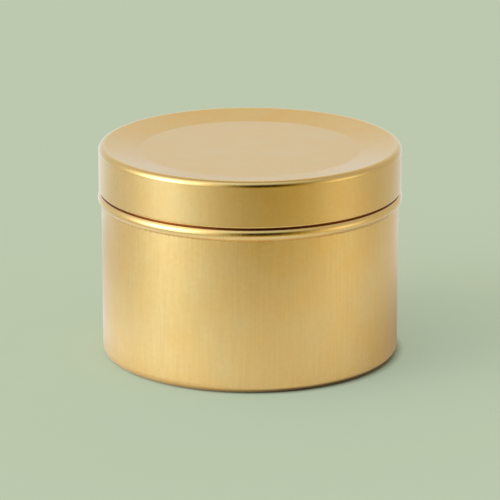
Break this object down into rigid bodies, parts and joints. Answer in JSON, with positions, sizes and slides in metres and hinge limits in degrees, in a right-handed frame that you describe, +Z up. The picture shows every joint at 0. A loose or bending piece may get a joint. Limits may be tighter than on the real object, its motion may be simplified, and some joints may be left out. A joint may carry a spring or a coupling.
{
  "type": "candle tin",
  "caption": "Round gold metal candle tin: a straight drawn tin with a rolled bead under its neck, closed by a slip-on lid with a sunken flat panel.",
  "frame": {"origin": "centre of the tin's standing ring, on the surface it stands on", "axes": "+Z up along the axis of the tin and lid; X and Y are alike, because both pieces are round"},
  "size_m": [0.0774, 0.0774, 0.0545],
  "materials": {
    "gold_tinplate": "satin"
  },
  "bodies": {
    "tin": {"tin_body": "gold_tinplate"},
    "lid": {"lid": "gold_tinplate"}
  },
  "joints": [
    {"name": "lid_lift", "type": "slide", "parent": "tin", "child": "lid", "axis": [0, 0, 1], "range_m": [0, 0.06]}
  ]
}
